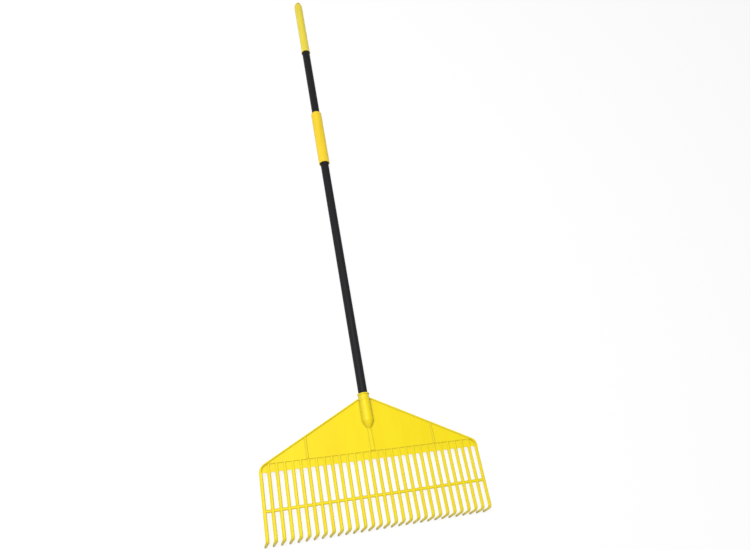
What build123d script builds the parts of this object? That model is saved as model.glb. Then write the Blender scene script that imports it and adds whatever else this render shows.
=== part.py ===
from build123d import *
import math
import os

# Leaf rake: a one-piece moulded head screwed to a long round tube with two slip-on grips.
# Each piece is drawn in the head's own frame, in millimetres, and then laid on the floor:
#   X across the tines, Y from the hooks towards the end grip, Z out of the upper face of the tines.
#   The origin of the head frame is on the handle's axis at the mouth of the socket.

# Head
HEAD_WIDTH = 610.0
HEAD_LENGTH = 351.0          # socket mouth to the outer side of the hook tips
TINE_COUNT = 30
TINE_WIDTH = 9.0
TINE_THICKNESS = 4.0
TINE_TOP_WIDTH = 4.2         # flat on top of a tine, between its two bevels
TINE_BEVEL_DROP = 2.4
HOOK_DEPTH = 53.0            # upper face of the tines to the hook tips
HOOK_TURN = 85.5             # degrees; a little less than square, so the hooks lean outwards
HOOK_BEND_RADIUS = 10.0      # at the middle of the tine's thickness
HOOK_TIP_WIDTH = 4.6
HOOK_TAPER_LENGTH = 30.0
WEB_THICKNESS = 3.0
WEB_NECK_HALF_WIDTH = 20.0
WEB_NECK_Y = -15.0
WEB_CORNER_Y = -164.5        # where the sloping edge and the side would meet without the round corner
WEB_CORNER_RADIUS = 25.0
WEB_RISE = 0.8               # upper face of the web above the tops of the tines
CREASE_Y = -160.0
CREASE_RUN = 2.2             # length of the slope from the web down to the band below it
BAND_DROP = 1.4              # upper face of that band below the tops of the tines
SLOT_TOP_Y = -179.0
SLOT_CORNER_RADIUS = 4.0
BAR_TOP_Y = -268.0
BAR_WIDTH = 8.0
BAR_TOP_WIDTH = 3.6
BAR_THICKNESS = 3.4
BAR_DROP = 0.4
RIM_WIDTH = 2.2              # flat top; the slope inside it adds RIM_RISE more
RIM_RISE = 2.8
RIM_DEPTH = 4.0              # below the web
RIM_RAMP_LENGTH = 26.0
RIB_X = 178.0
RIB_WIDTH = 6.5
RIB_RISE = 2.0
BACK_RIB_WIDTH = 3.0
RIB_FLANK = 40.0             # degrees that the ribs' flanks lean in from upright
SPINE_TOP_WIDTH = 10.0
SPINE_BASE_WIDTH = 14.0

# Socket
COLLAR_LENGTH = 19.0
COLLAR_WALL = 2.4
MOUTH_CHAMFER = 0.8
RING_RISE = 1.7
RING_WIDTH = 4.0
RING_CHAMFER = 1.0
SOCKET_SWELL_Y = -76.0
SOCKET_SWELL_RADIUS = 17.4
SOCKET_NOSE_SLOPE = 0.3      # radius lost per unit of length where the nose begins
SOCKET_TIP_Y = -101.0
SOCKET_TIP_RADIUS = 5.0
SOCKET_TIP_LENGTH = 2.5      # blunt cone that closes the nose
SOCKET_SIDE_RADIUS = 16.0
SEAT_RADIUS = 6.0
SEAT_Z = -18.5

# Handle
HANDLE_RISE = 1.25           # degrees that the handle stands off the plane of the tines
TUBE_DIAMETER = 25.4
TUBE_WALL = 1.0
TUBE_DEPTH = 70.0            # length of tube inside the socket
GRIP_END = 1481.0            # socket mouth to the nose of the end grip
END_GRIP_LENGTH = 242.0
END_GRIP_WALL = 1.3
END_GRIP_FLARE = 1.2         # rolled lip, above the sleeve's own radius
END_GRIP_LIP_LENGTH = 5.0
END_GRIP_FLARE_LENGTH = 14.0
END_GRIP_SOLID = 31.0        # length beyond the tube's end
END_GRIP_NOSE = 24.0         # length that narrows to the end
END_GRIP_TIP_RADIUS = 7.0
HANG_HOLE_DIAMETER = 7.0
HANG_HOLE_INSET = 11.0
MID_GRIP_START = 768.0
MID_GRIP_LENGTH = 202.0
MID_GRIP_DIAMETER = 34.2
MID_GRIP_SKIN = 1.8
MID_GRIP_RECESS = 12.0
MID_GRIP_ROUND = 3.5
CORE_LENGTH = 60.0
CORE_CHAMFER = 1.0
PLUG_LENGTH = 14.0
PLUG_CAP = 2.0
PLUG_LEAD_DEPTH = 1.0        # the plug's inner end is this much slimmer,
PLUG_LEAD_LENGTH = 2.0       # over this length

# Screws
SCREW_STATIONS = (-32.0, -56.0)
SCREW_DIAMETER = 4.2
SCREW_HEAD_DIAMETER = 8.4
SCREW_HEAD_HEIGHT = 2.6
SCREW_HEAD_ROUND = 1.5
SCREW_LENGTH = 16.0
SCREW_POINT = 3.5
SCREW_POINT_RADIUS = 0.3

# Worked out from the above
half_width = HEAD_WIDTH / 2
pitch = (HEAD_WIDTH - TINE_WIDTH) / (TINE_COUNT - 1)
tine_positions = [pitch * (i - (TINE_COUNT - 1) / 2) for i in range(TINE_COUNT)]
tube_radius = TUBE_DIAMETER / 2
tube_bore = tube_radius - TUBE_WALL
collar_radius = tube_radius + COLLAR_WALL
end_grip_radius = tube_radius + END_GRIP_WALL
tube_top = GRIP_END - END_GRIP_SOLID
nose_start = GRIP_END - END_GRIP_NOSE
turn = math.radians(HOOK_TURN)
half_thickness = TINE_THICKNESS / 2

# Along the middle of a tine: where the bend starts, where it ends, and the tip
bend_outer_radius = HOOK_BEND_RADIUS + half_thickness
hook_drop = HOOK_DEPTH - half_thickness - HOOK_BEND_RADIUS * (1 - math.cos(turn))
hook_lean = hook_drop / math.tan(turn)
bend_start_y = -HEAD_LENGTH + bend_outer_radius * math.sin(turn) + hook_lean
bend_end = (bend_start_y - HOOK_BEND_RADIUS * math.sin(turn), hook_drop - HOOK_DEPTH)
tip_centre = (bend_end[0] - hook_lean, -HOOK_DEPTH)
tip_inner_y = tip_centre[0] + half_thickness * math.sin(turn)


def on_handle(shape):
    """Turn a shape drawn along +Y into line with the raised handle."""
    return Rot(HANDLE_RISE, 0, 0) * shape


def turned(points):
    """Solid of revolution about Y from (radius, y) points."""
    outline = make_face(Polyline(*points, close=True))
    return revolve(outline, Axis.Y)


def rod_across(y, diameter, z_from, z_to):
    """Round rod along Z through the handle at station y."""
    length = z_to - z_from
    return Pos(0, y, z_from) * Cylinder(diameter / 2, length, align=(Align.CENTER, Align.CENTER, Align.MIN))


def head_outline():
    """Outer edge of the web and the row of tines, as a face in the XY plane."""
    far_end = -HEAD_LENGTH - HOOK_DEPTH
    corners = [
        (-WEB_NECK_HALF_WIDTH, WEB_NECK_Y),
        (WEB_NECK_HALF_WIDTH, WEB_NECK_Y),
        (half_width, WEB_CORNER_Y),
        (half_width, far_end),
        (-half_width, far_end),
        (-half_width, WEB_CORNER_Y),
    ]
    face = make_face(Polyline(*corners, close=True))
    shoulders = [v for v in face.vertices() if math.isclose(v.Y, WEB_CORNER_Y)]
    return fillet(shoulders, WEB_CORNER_RADIUS)


def slab(face, z_from, z_to):
    """Prism over a face, between two heights."""
    return extrude(Pos(0, 0, z_from) * face, z_to - z_from, dir=(0, 0, 1))


def strip(x_from, x_to, y_from, y_to, z_from, z_to):
    """Square-edged block between the given limits."""
    size = (x_to - x_from, y_to - y_from, z_to - z_from)
    return Pos(x_from, y_from, z_from) * Box(*size, align=(Align.MIN, Align.MIN, Align.MIN))


def web():
    """Flat web down to the tops of the slots, sloping down at the crease to the thinner band below it."""
    web_under = WEB_RISE - WEB_THICKNESS
    band_end = SLOT_TOP_Y - SLOT_CORNER_RADIUS
    side = make_face(Polyline(
        (0, WEB_RISE), (CREASE_Y + CREASE_RUN, WEB_RISE), (CREASE_Y, -BAND_DROP), (band_end, -BAND_DROP),
        (band_end, -TINE_THICKNESS), (CREASE_Y, -TINE_THICKNESS), (CREASE_Y + CREASE_RUN, web_under),
        (0, web_under), close=True))
    return extrude(Plane.YZ * side, half_width, both=True)


def slot_cuts():
    """Round-cornered tops of the slots, cut into the band below the crease."""
    width = pitch - TINE_WIDTH
    height = 4 * SLOT_CORNER_RADIUS     # runs out past the end of the band
    slot = Pos(0, SLOT_TOP_Y - height / 2) * RectangleRounded(width, height, SLOT_CORNER_RADIUS)
    cutter = slab(slot, -2 * TINE_THICKNESS, TINE_THICKNESS)
    return [Pos((a + b) / 2) * cutter for a, b in zip(tine_positions, tine_positions[1:])]


def rim():
    """Rim round the web, sloping inside and hanging below the web, that fades out down the sides."""
    outline = head_outline()
    inside = offset(outline, -RIM_WIDTH - RIM_RISE)
    top = WEB_RISE + RIM_RISE
    bottom = WEB_RISE - WEB_THICKNESS - RIM_DEPTH
    dish = extrude(Pos(0, 0, WEB_RISE) * inside, RIM_RISE, taper=-45)
    ring = slab(outline, bottom, top) - dish - slab(inside, bottom, WEB_RISE)
    ramp_end = WEB_CORNER_Y - RIM_RAMP_LENGTH
    keep = Pos(0, ramp_end / 2) * Rectangle(HEAD_WIDTH, -ramp_end)
    ring &= slab(keep, bottom, top)
    upper = make_face(Polyline(
        (WEB_CORNER_Y, top), (ramp_end, -TINE_BEVEL_DROP), (ramp_end, top), close=True))
    lower = make_face(Polyline(
        (WEB_CORNER_Y, bottom), (ramp_end, -TINE_THICKNESS), (ramp_end, bottom), close=True))
    for ramp in (upper, lower):
        ring -= extrude(Plane.YZ * ramp, half_width, both=True)
    return ring


def web_edge_y(x):
    """Height of the web's sloping edge at a distance x from the middle."""
    slope = (WEB_CORNER_Y - WEB_NECK_Y) / (half_width - WEB_NECK_HALF_WIDTH)
    return WEB_NECK_Y + (abs(x) - WEB_NECK_HALF_WIDTH) * slope


def raised(outline):
    """Low rib with leaning flanks, standing on the web's upper face."""
    return extrude(Pos(0, 0, WEB_RISE) * outline, RIB_RISE, taper=RIB_FLANK)


def ribs():
    """Two ribs and the spine on the upper face, with deeper and thinner ones on the underside."""
    shapes = []
    back = BACK_RIB_WIDTH / 2
    bottom = WEB_RISE - WEB_THICKNESS - RIM_DEPTH
    crease_top = CREASE_Y + CREASE_RUN
    for x in (-RIB_X, RIB_X):
        top = web_edge_y(abs(x) + RIB_WIDTH / 2) - RIM_WIDTH / 2
        length = top - crease_top
        shapes.append(raised(Pos(x, top - length / 2) * Rectangle(RIB_WIDTH, length)))
        shapes.append(strip(x - back, x + back, crease_top, top, bottom, 0))
    shapes.append(raised(make_face(Polyline(
        (-SPINE_TOP_WIDTH / 2, SOCKET_SWELL_Y), (-SPINE_BASE_WIDTH / 2, crease_top),
        (SPINE_BASE_WIDTH / 2, crease_top), (SPINE_TOP_WIDTH / 2, SOCKET_SWELL_Y), close=True))))
    shapes.append(strip(-back, back, crease_top, SOCKET_SWELL_Y, bottom, 0))
    return shapes


def bevelled_section(width, top_width, thickness, bevel_drop):
    """Cross-section of a bar with two bevels on top, centred on the origin."""
    half = thickness / 2
    return make_face(Polyline(
        (-top_width / 2, half), (top_width / 2, half), (width / 2, half - bevel_drop), (width / 2, -half),
        (-width / 2, -half), (-width / 2, half - bevel_drop), close=True))


def tine():
    """One tine: bevelled flat bar from the crease to the hook, with a tapered, rounded tip."""
    start = (CREASE_Y + CREASE_RUN, -half_thickness)
    bend_start = (bend_start_y, -half_thickness)
    straight = Plane.YZ * Line(start, bend_start)
    bend = Plane.YZ * TangentArc(bend_start, bend_end, tangent=(-1, 0))
    hook = Plane.YZ * Line(bend_end, tip_centre)
    path = Wire([straight.edge(), bend.edge(), hook.edge()])
    section = bevelled_section(TINE_WIDTH, TINE_TOP_WIDTH, TINE_THICKNESS, TINE_BEVEL_DROP)
    start_plane = Plane(origin=(0, *start), x_dir=(1, 0, 0), z_dir=(0, -1, 0))
    bar = sweep(start_plane * section, path=path)
    return bar & tip_envelope()


def tip_envelope():
    """Everything that a tine may fill as seen along Y: full width, then tapering to the tip."""
    taper_top = HOOK_TAPER_LENGTH - HOOK_DEPTH
    tip_radius = HOOK_TIP_WIDTH / 2
    shoulder = -HOOK_DEPTH + tip_radius
    side = TINE_WIDTH / 2
    left = Polyline((-tip_radius, shoulder), (-side, taper_top), (-side, TINE_THICKNESS))
    top = Line((-side, TINE_THICKNESS), (side, TINE_THICKNESS))
    right = Polyline((side, TINE_THICKNESS), (side, taper_top), (tip_radius, shoulder))
    nose = ThreePointArc((tip_radius, shoulder), (0, -HOOK_DEPTH), (-tip_radius, shoulder))
    return extrude(Plane.XZ * make_face([*left.edges(), top, *right.edges(), nose]), 2 * HEAD_LENGTH)


def cross_bar():
    """Bar through all the tines, a little below their upper face."""
    middle = (0, BAR_TOP_Y - BAR_WIDTH / 2, -BAR_DROP - BAR_THICKNESS / 2)
    section = bevelled_section(BAR_WIDTH, BAR_TOP_WIDTH, BAR_THICKNESS, (BAR_WIDTH - BAR_TOP_WIDTH) / 2)
    across = Plane(origin=middle, x_dir=(0, 1, 0), z_dir=(1, 0, 0))
    return extrude(across * section, tine_positions[-1], both=True)


def socket():
    """Collar with two rings, then a swelling barrel that closes in a pointed nose."""
    ring = collar_radius + RING_RISE
    ring_low = -COLLAR_LENGTH + RING_WIDTH
    swell = (SOCKET_SWELL_RADIUS, SOCKET_SWELL_Y)
    barrel = Polyline(
        (0, 0), (collar_radius, 0), (ring, -RING_CHAMFER), (ring, -RING_WIDTH),
        (collar_radius, -RING_WIDTH - RING_CHAMFER), (collar_radius, ring_low + RING_CHAMFER),
        (ring, ring_low), (ring, -COLLAR_LENGTH), (SOCKET_SIDE_RADIUS, -COLLAR_LENGTH - RING_CHAMFER), swell)
    tip_side = (SOCKET_TIP_RADIUS, SOCKET_TIP_Y + SOCKET_TIP_LENGTH)
    nose = TangentArc(swell, tip_side, tangent=(-SOCKET_NOSE_SLOPE, -1))
    tip = Line(tip_side, (0, SOCKET_TIP_Y))
    axis = Line((0, SOCKET_TIP_Y), (0, 0))
    body = revolve(make_face([*barrel.edges(), nose, tip, axis]), Axis.Y)
    for y in SCREW_STATIONS:
        body += rod_across(y, 2 * SEAT_RADIUS, SEAT_Z, 0)
    return on_handle(body)


def screw_holes(z_to):
    """Holes for the screws, up to a height across the handle."""
    return [rod_across(y, SCREW_DIAMETER, 2 * SEAT_Z, z_to) for y in SCREW_STATIONS]


def rake_head():
    """The whole one-piece moulding."""
    one_tine = tine()
    tines = [Pos(x) * one_tine for x in tine_positions]
    body = web() + tines + [cross_bar()]
    body &= slab(head_outline(), -2 * HOOK_DEPTH, HOOK_DEPTH)
    body += [rim(), *ribs()]
    body -= slot_cuts()
    body += socket()
    return body - socket_bore() - on_handle(Part() + screw_holes(0))


def socket_bore():
    """Space for the tube, with a chamfered mouth."""
    wide = tube_radius + MOUTH_CHAMFER
    return on_handle(turned([
        (0, -TUBE_DEPTH), (tube_radius, -TUBE_DEPTH), (tube_radius, -MOUTH_CHAMFER), (wide, 0),
        (wide, MOUTH_CHAMFER), (0, MOUTH_CHAMFER)]))


def handle_tube():
    """Straight round tube with the two screw holes in its underside."""
    tube = turned([
        (tube_bore, -TUBE_DEPTH), (tube_radius, -TUBE_DEPTH), (tube_radius, tube_top), (tube_bore, tube_top)])
    return on_handle(tube - screw_holes(0))


def tube_core():
    """Core plug in the tube's lower end, drilled for the screws."""
    top = CORE_LENGTH - TUBE_DEPTH
    core = turned([
        (0, -TUBE_DEPTH), (tube_bore, -TUBE_DEPTH), (tube_bore, top - CORE_CHAMFER),
        (tube_bore - CORE_CHAMFER, top), (0, top)])
    return on_handle(core - screw_holes(SEAT_Z + SCREW_LENGTH))


def tube_end_plug():
    """Stepped plug that closes the tube's upper end."""
    start = tube_top - PLUG_LENGTH
    cap_top = tube_top + PLUG_CAP
    return on_handle(turned([
        (0, start), (tube_bore - PLUG_LEAD_DEPTH, start), (tube_bore, start + PLUG_LEAD_LENGTH),
        (tube_bore, tube_top), (tube_radius, tube_top), (tube_radius, cap_top), (0, cap_top)]))


def rounded_corner(outline, x, y, radius):
    """Round the corner of a flat outline that lies nearest to (x, y)."""
    corner = min(outline.vertices(), key=lambda v: math.hypot(v.X - x, v.Y - y))
    return fillet(corner, radius)


def mid_grip():
    """Thick sleeve with a rounded upper end, recessed below so that a skin stands clear of the tube."""
    radius = MID_GRIP_DIAMETER / 2
    inner = radius - MID_GRIP_SKIN
    start = MID_GRIP_START
    recess_end = start + MID_GRIP_RECESS
    end = start + MID_GRIP_LENGTH
    outline = make_face(Polyline(
        (tube_radius, recess_end), (inner, recess_end), (inner, start), (radius, start),
        (radius, end), (tube_radius, end), close=True))
    outline = rounded_corner(outline, radius, end, MID_GRIP_ROUND)
    outline = rounded_corner(outline, radius, start, MID_GRIP_SKIN / 2)
    return on_handle(revolve(outline, Axis.Y))


def nose_arcs(radius, start, end, tip_radius):
    """Two tangent arcs that take a straight side in to a round tip on the axis."""
    length = end - start
    side_radius = (radius**2 + length**2 - 2 * length * tip_radius) / (2 * (radius - tip_radius))
    scale = side_radius / (side_radius - tip_radius)
    meeting = (radius - side_radius + (side_radius - radius) * scale, start + (length - tip_radius) * scale)
    side = TangentArc((radius, start), meeting, tangent=(0, 1))
    tip = TangentArc(meeting, (0, end), tangent=side % 1)
    return [side, tip]


def end_grip():
    """Slip-on grip: thin sleeve with a rolled lower edge and a solid bullet nose with a hang hole."""
    start = GRIP_END - END_GRIP_LENGTH
    lip = end_grip_radius + END_GRIP_FLARE
    side = Polyline(
        (0, tube_top + PLUG_CAP), (tube_radius, tube_top + PLUG_CAP), (tube_radius, start), (lip, start),
        (lip, start + END_GRIP_LIP_LENGTH), (end_grip_radius, start + END_GRIP_FLARE_LENGTH),
        (end_grip_radius, nose_start))
    axis = Line((0, GRIP_END), (0, tube_top + PLUG_CAP))
    nose = nose_arcs(end_grip_radius, nose_start, GRIP_END, END_GRIP_TIP_RADIUS)
    body = revolve(make_face([*side.edges(), *nose, axis]), Axis.Y)
    hole_y = GRIP_END - HANG_HOLE_INSET
    return on_handle(body - rod_across(hole_y, HANG_HOLE_DIAMETER, -TUBE_DIAMETER, TUBE_DIAMETER))


def head_screw(y):
    """Pan-head self-tapping screw driven up from the underside of the socket."""
    shank_end = SEAT_Z + SCREW_LENGTH
    shank = rod_across(y, SCREW_DIAMETER, SEAT_Z, shank_end - SCREW_POINT)
    point = Pos(0, y, shank_end - SCREW_POINT) * Cone(
        SCREW_DIAMETER / 2, SCREW_POINT_RADIUS, SCREW_POINT, align=(Align.CENTER, Align.CENTER, Align.MIN))
    head = rod_across(y, SCREW_HEAD_DIAMETER, SEAT_Z - SCREW_HEAD_HEIGHT, SEAT_Z)
    low_edge = head.edges().filter_by(GeomType.CIRCLE).sort_by(Axis.Z)[0]
    return fillet(low_edge, SCREW_HEAD_ROUND) + shank + point


def head_screws():
    """The two screws, as two separate solids."""
    return on_handle(Compound([head_screw(y).solid() for y in SCREW_STATIONS]))


def rest_pitch():
    """Angle that the head frame tips through to rest on the hook tips and the widest ring of the nose."""
    rise = math.radians(HANDLE_RISE)
    height = nose_start * math.sin(rise) + HOOK_DEPTH
    run = nose_start * math.cos(rise) - tip_inner_y
    return math.degrees(math.acos(end_grip_radius / math.hypot(height, run)) - math.atan2(run, height))


pieces = {
    "rake_head": rake_head(),
    "handle_tube": handle_tube(),
    "tube_core": tube_core(),
    "tube_end_plug": tube_end_plug(),
    "mid_grip": mid_grip(),
    "end_grip": end_grip(),
    "head_screws": head_screws(),
}

# Lay the rake down, with the origin on the floor under the middle of its bounding box.
tipped = {name: Rot(-rest_pitch(), 0, 0) * shape for name, shape in pieces.items()}
bounds = [shape.bounding_box() for shape in tipped.values()]
y_middle = (min(b.min.Y for b in bounds) + max(b.max.Y for b in bounds)) / 2
z_floor = min(b.min.Z for b in bounds)

os.makedirs("parts", exist_ok=True)
for name, shape in tipped.items():
    export_step(Pos(0, -y_middle, -z_floor) * shape, f"parts/{name}.step")
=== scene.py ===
import math

import bpy
from mathutils import Euler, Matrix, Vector


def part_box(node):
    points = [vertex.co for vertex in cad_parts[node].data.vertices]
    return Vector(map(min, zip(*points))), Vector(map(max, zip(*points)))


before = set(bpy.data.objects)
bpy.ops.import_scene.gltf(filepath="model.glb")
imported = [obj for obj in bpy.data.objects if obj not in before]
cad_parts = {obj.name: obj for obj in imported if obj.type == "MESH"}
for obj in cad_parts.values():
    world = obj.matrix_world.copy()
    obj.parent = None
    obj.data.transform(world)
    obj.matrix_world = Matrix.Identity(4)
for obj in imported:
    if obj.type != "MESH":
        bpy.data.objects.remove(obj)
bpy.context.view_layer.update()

# Leaf rake lying on the floor on its hook tips and its end grip. It lies along Y, with the hooks at low Y.
# Everything is in metres.
MM = 0.001

# Camera, from the mouth of the socket: a standing person's view, a little towards the hooks and the left
CAMERA_FROM_MOUTH = Vector((-0.5464, -0.4304, 1.7148))
CAMERA_TURN = (26.282, -16.095, -9.914)     # degrees
CAMERA_LENS = 31.80
SENSOR_WIDTH = 36.0

# Studio
KEY_PLACE = Vector((-1.3, -0.3, 3.8))
KEY_AIM = Vector((0, -0.35, 0))
KEY_SIZE = 1.4
KEY_POWER = 145.0
SURROUND = 0.25
FLOOR_SIZE = 60.0
FLOOR_GLOW = 0.86
FLOOR_GREY = 0.15

# Colours, linear
HEAD_YELLOW = (0.91, 0.735, 0.005)
HEAD_AMBER = (0.88, 0.675, 0.005)
HEAD_SHADE = (0.62, 0.50, 0.030)
HEAD_RUBBED = (0.93, 0.80, 0.12)
# Painted shade for creases, recesses and hook tips; on the end grip it is also real soil from handling
SOIL_AND_SHADE = (0.25, 0.20, 0.045)
# Painted shade inside the hang hole and other recesses of the end grip
HOLE_SHADE = (0.15, 0.11, 0.030)
SLEEVE_YELLOW = (0.92, 0.67, 0.026)
SLEEVE_AMBER = (0.84, 0.58, 0.022)
SLEEVE_RUBBED = (0.92, 0.76, 0.14)
VINYL_YELLOW = (0.83, 0.67, 0.050)
VINYL_PALE = (0.88, 0.74, 0.085)
TUBE_BLACK = (0.0175, 0.0165, 0.0185)
TUBE_WORN = (0.045, 0.044, 0.048)
CORE_BLACK = (0.020, 0.020, 0.021)
ZINC = (0.60, 0.60, 0.57)
ZINC_CLOUDY = (0.42, 0.41, 0.36)

# Masks: the value at which each one is 0, and the value at which it is 1
CREASE_RANGE = (0.97, 0.55)     # share of the sky that a point sees
FLANK_RANGE = (0.95, 0.6)       # upward part of the normal
EDGE_RANGE = (0.99, 0.85)       # how well the normal agrees with that of a rounded edge
TIP_RANGE = (0.030, 0.006)      # height above the floor
CREASE_SAMPLES = 16
EDGE_SAMPLES = 6


# ---- materials ----

class Finish:
    """A node material under construction, with the few node patterns that the finishes share."""

    def __init__(self, name):
        self.material = bpy.data.materials.new(name)
        self.material.use_nodes = True
        self.nodes = self.material.node_tree.nodes
        self.links = self.material.node_tree.links
        self.shader = self.nodes["Principled BSDF"]
        self.place = self.nodes.new("ShaderNodeTexCoord").outputs["Object"]

    def noise(self, scale, detail=3.0, along=1.0):
        """Noise of a given scale. An along of less than 1 draws it out into streaks along the rake."""
        mapping = self.nodes.new("ShaderNodeMapping")
        mapping.inputs["Scale"].default_value = (1, along, 1)
        self.links.new(self.place, mapping.inputs["Vector"])
        noise = self.nodes.new("ShaderNodeTexNoise")
        noise.inputs["Scale"].default_value = scale
        noise.inputs["Detail"].default_value = detail
        self.links.new(mapping.outputs["Vector"], noise.inputs["Vector"])
        return noise.outputs["Fac"]

    def spread(self, value, low, high, to_low=0.0, to_high=1.0):
        """Maps the range low..high of a value onto to_low..to_high, and clamps it there."""
        node = self.nodes.new("ShaderNodeMapRange")
        for name, number in zip(("From Min", "From Max", "To Min", "To Max"), (low, high, to_low, to_high)):
            node.inputs[name].default_value = number
        self.links.new(value, node.inputs["Value"])
        return node.outputs["Result"]

    def product(self, first, second):
        """Two masks multiplied."""
        node = self.nodes.new("ShaderNodeMath")
        node.operation = "MULTIPLY"
        self.links.new(first, node.inputs[0])
        self.links.new(second, node.inputs[1])
        return node.outputs["Value"]

    def patchy(self, mask, noise, low, high, least):
        """A mask cut down to a least share where a noise is under low, and whole where it is over high."""
        return self.product(mask, self.spread(noise, low, high, least, 1.0))

    def height(self):
        """Height of the surface point."""
        node = self.nodes.new("ShaderNodeSeparateXYZ")
        self.links.new(self.place, node.inputs["Vector"])
        return node.outputs["Z"]

    def creases(self, distance):
        """1 deep in creases narrower than a distance, 0 on open faces."""
        node = self.nodes.new("ShaderNodeAmbientOcclusion")
        node.inputs["Distance"].default_value = distance
        node.samples = CREASE_SAMPLES
        return self.spread(node.outputs["AO"], *CREASE_RANGE)

    def flanks(self):
        """1 on faces that lean away from level, 0 on level ones."""
        node = self.nodes.new("ShaderNodeSeparateXYZ")
        self.links.new(self.nodes.new("ShaderNodeTexCoord").outputs["Normal"], node.inputs["Vector"])
        return self.spread(node.outputs["Z"], *FLANK_RANGE)

    def rounded_normal(self, radius):
        """Normal of the surface as if its sharp edges were rounded."""
        node = self.nodes.new("ShaderNodeBevel")
        node.samples = EDGE_SAMPLES
        node.inputs["Radius"].default_value = radius
        return node.outputs["Normal"]

    def edges(self, radius):
        """1 on sharp edges, 0 further from them than a radius."""
        agreement = self.nodes.new("ShaderNodeVectorMath")
        agreement.operation = "DOT_PRODUCT"
        self.links.new(self.rounded_normal(radius), agreement.inputs[0])
        self.links.new(self.nodes.new("ShaderNodeNewGeometry").outputs["Normal"], agreement.inputs[1])
        return self.spread(agreement.outputs["Value"], *EDGE_RANGE)

    def soften(self, radius):
        """Rounds the shading of sharp edges. Comes before any bump."""
        self.links.new(self.rounded_normal(radius), self.shader.inputs["Normal"])

    def mix(self, mask, first, second):
        """Colour that goes from first to second as the mask goes from 0 to 1."""
        node = self.nodes.new("ShaderNodeMix")
        node.data_type = "RGBA"
        self.links.new(mask, node.inputs["Factor"])
        # The colour sockets share their names with the float and vector ones, so they go by number.
        for socket, colour in ((node.inputs[6], first), (node.inputs[7], second)):
            if isinstance(colour, tuple):
                socket.default_value = (*colour, 1)
            else:
                self.links.new(colour, socket)
        return node.outputs[2]

    def tint(self, colour, other, mask, amount):
        """Colour moved towards another by an amount where the mask is 1."""
        return self.mix(self.spread(mask, 0, 1, 0, amount), colour, other)

    def colour(self, value):
        self.links.new(value, self.shader.inputs["Base Color"])

    def roughness(self, noise, smooth, rough):
        """Roughness that wanders between two values with a noise."""
        self.links.new(self.spread(noise, 0.3, 0.7, smooth, rough), self.shader.inputs["Roughness"])

    def specular(self, level):
        self.shader.inputs["Specular IOR Level"].default_value = level

    def bump(self, height, depth, strength=1.0):
        """Adds a bump of a given depth over the bumps so far."""
        node = self.nodes.new("ShaderNodeBump")
        node.inputs["Strength"].default_value = strength
        node.inputs["Distance"].default_value = depth
        self.links.new(height, node.inputs["Height"])
        normal = self.shader.inputs["Normal"]
        if normal.is_linked:
            self.links.new(normal.links[0].from_socket, node.inputs["Normal"])
        self.links.new(node.outputs["Normal"], normal)


def head_plastic():
    """Moulded plastic: flow streaks, fine grain, painted shade on the flanks, rubbed edges, and painted shade
    in the creases and on the hook tips.
    """
    finish = Finish("head_plastic")
    streaks = finish.noise(26, detail=4, along=0.18)
    colour = finish.mix(finish.spread(streaks, 0.35, 0.75), HEAD_YELLOW, HEAD_AMBER)
    # Painted shade on faces that lean away from level
    flanks = finish.patchy(finish.flanks(), finish.noise(120, detail=4), 0.3, 0.7, least=0.75)
    colour = finish.tint(colour, HEAD_SHADE, flanks, amount=0.6)
    worn = finish.patchy(finish.edges(1.2 * MM), finish.noise(75, detail=4), 0.4, 0.6, least=0.2)
    colour = finish.tint(colour, HEAD_RUBBED, worn, amount=0.4)
    # Painted shade in creases and narrow hollows, where little of the sky is seen
    creases = finish.patchy(finish.creases(8 * MM), finish.noise(160), 0.25, 0.6, least=0.7)
    colour = finish.tint(colour, SOIL_AND_SHADE, creases, amount=0.5)
    # Painted shade on the hook tips, darker towards the floor
    tips = finish.spread(finish.height(), *TIP_RANGE)
    tips = finish.patchy(tips, finish.noise(220, detail=5), 0.35, 0.65, least=0.6)
    finish.colour(finish.tint(colour, SOIL_AND_SHADE, tips, amount=0.65))
    finish.roughness(finish.noise(90, detail=5), 0.42, 0.56)
    finish.specular(0.3)
    finish.soften(0.5 * MM)
    finish.bump(finish.noise(1400, detail=2), 0.06 * MM)
    finish.bump(finish.noise(60, along=0.3), 0.25 * MM, strength=0.5)
    return finish.material


def sleeve_plastic():
    """Mid grip: satin plastic with a fine leathery grain, faint draw marks along it, rubbed edges and painted
    shade in its creases.
    """
    finish = Finish("sleeve_grip")
    marks = finish.noise(140, detail=4, along=0.08)
    colour = finish.mix(finish.spread(marks, 0.35, 0.7), SLEEVE_YELLOW, SLEEVE_AMBER)
    worn = finish.patchy(finish.edges(2.5 * MM), finish.noise(150, detail=4), 0.4, 0.6, least=0.3)
    colour = finish.tint(colour, SLEEVE_RUBBED, worn, amount=0.6)
    # Painted shade in creases and recesses
    finish.colour(finish.tint(colour, SOIL_AND_SHADE, finish.creases(4 * MM), amount=0.7))
    finish.roughness(finish.noise(120, detail=4), 0.45, 0.6)
    finish.specular(0.35)
    finish.bump(finish.noise(900), 0.12 * MM)
    finish.bump(marks, 0.2 * MM, strength=0.4)
    return finish.material


def end_grip_vinyl():
    """Slip-on vinyl: paler, slightly glossy, mottled by the dip, with painted shade in the hang hole."""
    finish = Finish("end_grip")
    mottle = finish.noise(70, detail=4, along=0.3)
    colour = finish.mix(finish.spread(mottle, 0.35, 0.7), VINYL_YELLOW, VINYL_PALE)
    handled = finish.spread(finish.noise(45, detail=6, along=0.5), 0.5, 0.75)
    handled = finish.patchy(handled, mottle, 0.3, 0.6, least=0.4)
    colour = finish.tint(colour, SOIL_AND_SHADE, handled, amount=0.18)
    # Painted shade in the hang hole and other recesses
    finish.colour(finish.mix(finish.creases(12 * MM), colour, HOLE_SHADE))
    finish.roughness(finish.noise(110, detail=4), 0.34, 0.5)
    finish.bump(finish.noise(700, detail=2), 0.1 * MM)
    finish.bump(mottle, 0.4 * MM, strength=0.4)
    return finish.material


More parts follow.
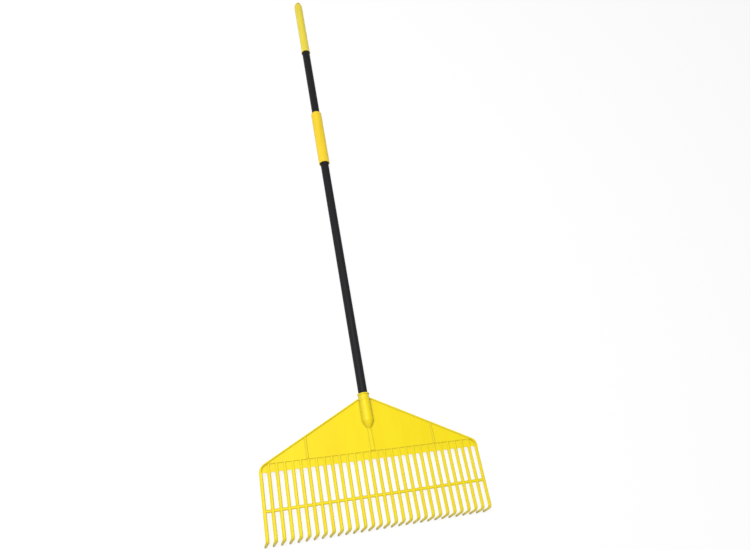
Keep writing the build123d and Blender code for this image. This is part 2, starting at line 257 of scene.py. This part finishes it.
def tube_coating():
    """Satin black powder coat: orange peel, with a few scuffs rubbed along the tube."""
    finish = Finish("coated_tube")
    scuffs = finish.product(
        finish.spread(finish.noise(420, detail=5, along=0.02), 0.6, 0.75),
        finish.spread(finish.noise(9), 0.45, 0.65))
    finish.colour(finish.tint(TUBE_BLACK, TUBE_WORN, scuffs, amount=0.8))
    finish.roughness(finish.noise(60, detail=5, along=0.2), 0.48, 0.62)
    finish.specular(0.1)
    finish.bump(finish.noise(1100, detail=2), 0.08 * MM)
    return finish.material


def core_plastic():
    """Plain black plastic inside the tube."""
    finish = Finish("core_plastic")
    finish.colour(finish.mix(finish.noise(80), CORE_BLACK, TUBE_WORN))
    finish.roughness(finish.noise(200), 0.5, 0.7)
    finish.bump(finish.noise(900), 0.1 * MM)
    return finish.material


def screw_zinc():
    """Zinc-plated steel with a cloudy passivated colour."""
    finish = Finish("screw_steel")
    finish.colour(finish.mix(finish.spread(finish.noise(600, detail=4), 0.3, 0.7), ZINC, ZINC_CLOUDY))
    finish.shader.inputs["Metallic"].default_value = 1.0
    finish.roughness(finish.noise(900), 0.28, 0.45)
    finish.bump(finish.noise(2500), 0.03 * MM)
    return finish.material


def studio_floor():
    """Plain white floor, lightly lit from within like a light table, so that shadows stay faint."""
    finish = Finish("studio_floor")
    finish.shader.inputs["Base Color"].default_value = (FLOOR_GREY, FLOOR_GREY, FLOOR_GREY, 1)
    finish.shader.inputs["Roughness"].default_value = 1.0
    finish.shader.inputs["Emission Color"].default_value = (1, 1, 1, 1)
    finish.shader.inputs["Emission Strength"].default_value = FLOOR_GLOW
    finish.specular(0.0)
    return finish.material


# ---- studio ----

def add_object(name, data):
    """A new object in the scene."""
    thing = bpy.data.objects.new(name, data)
    bpy.context.scene.collection.objects.link(thing)
    return thing


def socket_mouth():
    """Top of the handle where it enters the head."""
    head_top_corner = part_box("rake_head")[1]
    tube_top_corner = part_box("handle_tube")[1]
    return Vector((0, head_top_corner.y, tube_top_corner.z))


def add_camera():
    """The reference view."""
    camera = add_object("camera", bpy.data.cameras.new("camera"))
    camera.data.lens = CAMERA_LENS
    camera.data.sensor_width = SENSOR_WIDTH
    camera.location = socket_mouth() + CAMERA_FROM_MOUTH
    camera.rotation_euler = Euler([math.radians(angle) for angle in CAMERA_TURN])
    bpy.context.scene.camera = camera


def add_key_light():
    """One large soft light high over the handle's side."""
    light = add_object("key", bpy.data.lights.new("key", "AREA"))
    light.data.shape = "DISK"
    light.data.size = KEY_SIZE
    light.data.energy = KEY_POWER
    light.location = KEY_PLACE
    light.rotation_euler = (KEY_AIM - KEY_PLACE).to_track_quat("-Z", "Y").to_euler()


def add_surroundings():
    """Even white light from all round."""
    world = bpy.data.worlds.new("studio")
    world.use_nodes = True
    background = world.node_tree.nodes["Background"]
    background.inputs["Color"].default_value = (1, 1, 1, 1)
    background.inputs["Strength"].default_value = SURROUND
    bpy.context.scene.world = world


def add_floor():
    """Flat floor at the height that the rake lies on."""
    half = FLOOR_SIZE / 2
    corners = [(-half, -half, 0), (half, -half, 0), (half, half, 0), (-half, half, 0)]
    mesh = bpy.data.meshes.new("floor")
    mesh.from_pydata(corners, [], [(0, 1, 2, 3)])
    mesh.materials.append(studio_floor())
    add_object("floor", mesh)


# ---- the rake ----

def finish_nodes():
    """Gives each CAD node its finish."""
    core = core_plastic()
    finishes = {
        "rake_head": head_plastic(),
        "handle_tube": tube_coating(),
        "tube_core": core,
        "tube_end_plug": core,
        "mid_grip": sleeve_plastic(),
        "end_grip": end_grip_vinyl(),
        "head_screws": screw_zinc(),
    }
    for node, material in finishes.items():
        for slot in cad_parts[node].material_slots:
            slot.material = material


finish_nodes()
add_camera()
add_key_light()
add_surroundings()
add_floor()
bpy.context.scene.view_settings.view_transform = "Standard"
